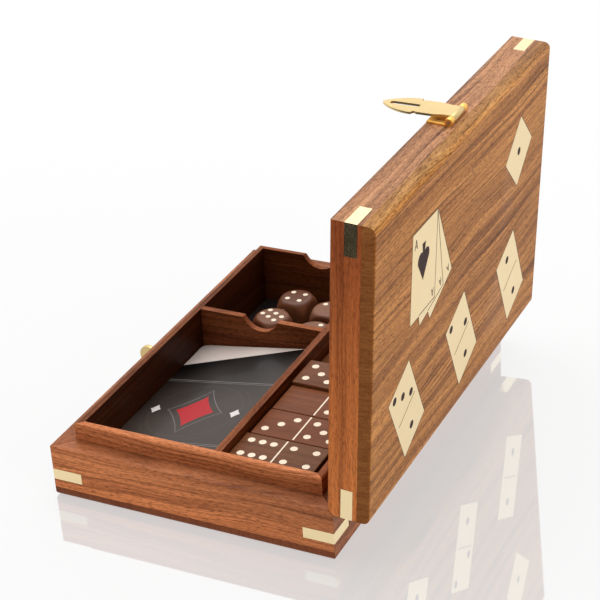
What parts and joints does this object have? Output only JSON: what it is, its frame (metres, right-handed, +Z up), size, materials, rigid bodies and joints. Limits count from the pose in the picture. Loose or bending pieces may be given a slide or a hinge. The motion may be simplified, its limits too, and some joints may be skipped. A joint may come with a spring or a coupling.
{
  "type": "wooden games compendium box",
  "caption": "Hinged wooden games box with a lined base holding a card deck, dice and dominoes in three wells, an inlaid lid, and a brass hasp and turning catch.",
  "frame": {"origin": "centre of the base's underside", "axes": "+Z up, +X along the box towards the end nearest the camera in the picture, -Y towards the front with the catch, +Y towards the hinges"},
  "size_m": [0.19, 0.1671, 0.1549],
  "materials": {
    "box_wood": "oiled, satin, dark stripes along the grain",
    "lining_wood": "oiled, satin",
    "velvet": "black pile",
    "pale_brass": "satin, ground flush with the wood",
    "brass_fittings": "polished",
    "steel_pins": "bright",
    "dark_filler": "dark wax or lacquer",
    "tuck_board": "printed card with a satin varnish",
    "card_paper": "coated paper",
    "dark_wood": "waxed, satin",
    "pale_inlay": "cream filler"
  },
  "bodies": {
    "base": {"base_front_wall": "box_wood", "base_back_wall": "box_wood", "base_near_end": "box_wood", "base_far_end": "box_wood", "bottom_board": "box_wood", "base_corner_keys": "pale_brass", "lip_front": "lining_wood", "lip_back": "lining_wood", "lip_near": "lining_wood", "lip_far": "lining_wood", "long_divider": "lining_wood", "cross_divider": "lining_wood", "floor_velvet": "velvet", "base_hinge_leaves": "brass_fittings", "hinge_pins": "steel_pins", "base_hinge_nails": "brass_fittings", "catch_plate": "brass_fittings", "catch_nails": "brass_fittings"},
    "lid": {"lid_front_wall": "box_wood", "lid_back_wall": "box_wood", "lid_near_end": "box_wood", "lid_far_end": "box_wood", "lid_board": "box_wood", "lid_corner_keys": "pale_brass", "lid_hinge_leaves": "brass_fittings", "lid_hinge_nails": "brass_fittings", "inlay_cards": "pale_brass", "inlay_domino_near": "pale_brass", "inlay_domino_middle": "pale_brass", "inlay_domino_far": "pale_brass", "inlay_die": "pale_brass", "inlay_fill": "dark_filler", "hasp_plate": "brass_fittings", "hasp_nails": "brass_fittings", "hasp_pin": "steel_pins"},
    "hasp_leaf": {"hasp_leaf": "brass_fittings"},
    "catch_knob": {"catch_knob": "brass_fittings"},
    "card_deck": {"card_tuck_box": "tuck_board", "playing_cards": "card_paper"},
    "die_1": {"die_1": "dark_wood", "die_1_pips": "pale_inlay"},
    "die_2": {"die_2": "dark_wood", "die_2_pips": "pale_inlay"},
    "die_3": {"die_3": "dark_wood", "die_3_pips": "pale_inlay"},
    "die_4": {"die_4": "dark_wood", "die_4_pips": "pale_inlay"},
    "die_5": {"die_5": "dark_wood", "die_5_pips": "pale_inlay"},
    "domino_stack": {"lower_dominoes": "dark_wood", "lower_domino_inlays": "pale_inlay"},
    "domino_1": {"domino_1": "dark_wood", "domino_1_inlay": "pale_inlay"},
    "domino_2": {"domino_2": "dark_wood", "domino_2_inlay": "pale_inlay"},
    "domino_3": {"domino_3": "dark_wood", "domino_3_inlay": "pale_inlay"},
    "domino_4": {"domino_4": "dark_wood", "domino_4_inlay": "pale_inlay"}
  },
  "joints": [
    {"name": "lid_hinge", "type": "hinge", "parent": "base", "child": "lid", "pos_m": [0, 0.0628, 0.0242], "axis": [-1, 0, 0], "range_deg": [-93.5, 0]},
    {"name": "hasp_hinge", "type": "hinge", "parent": "lid", "child": "hasp_leaf", "pos_m": [-0.004, 0.08009, 0.15288], "axis": [-1, 0, 0], "range_deg": [0, 150]},
    {"name": "catch_turn", "type": "hinge", "parent": "base", "child": "catch_knob", "pos_m": [-0.004, -0.065, 0.012], "axis": [0, -1, 0], "range_deg": [-90, 0]},
    {"name": "deck_lift", "type": "slide", "parent": "base", "child": "card_deck", "axis": [0, 0, 1], "range_m": [0, 0.045]},
    {"name": "die_1_lift", "type": "slide", "parent": "base", "child": "die_1", "axis": [0, 0, 1], "range_m": [0, 0.045]},
    {"name": "die_2_lift", "type": "slide", "parent": "base", "child": "die_2", "axis": [0, 0, 1], "range_m": [0, 0.045]},
    {"name": "die_3_lift", "type": "slide", "parent": "base", "child": "die_3", "axis": [0, 0, 1], "range_m": [0, 0.045]},
    {"name": "die_4_lift", "type": "slide", "parent": "base", "child": "die_4", "axis": [0, 0, 1], "range_m": [0, 0.045]},
    {"name": "die_5_lift", "type": "slide", "parent": "base", "child": "die_5", "axis": [0, 0, 1], "range_m": [0, 0.045]},
    {"name": "domino_stack_lift", "type": "slide", "parent": "base", "child": "domino_stack", "axis": [0, 0, 1], "range_m": [0, 0.045]},
    {"name": "domino_1_lift", "type": "slide", "parent": "domino_stack", "child": "domino_1", "axis": [0, 0, 1], "range_m": [0, 0.03]},
    {"name": "domino_2_lift", "type": "slide", "parent": "domino_stack", "child": "domino_2", "axis": [0, 0, 1], "range_m": [0, 0.03]},
    {"name": "domino_3_lift", "type": "slide", "parent": "domino_stack", "child": "domino_3", "axis": [0, 0, 1], "range_m": [0, 0.03]},
    {"name": "domino_4_lift", "type": "slide", "parent": "domino_stack", "child": "domino_4", "axis": [0, 0, 1], "range_m": [0, 0.03]}
  ]
}
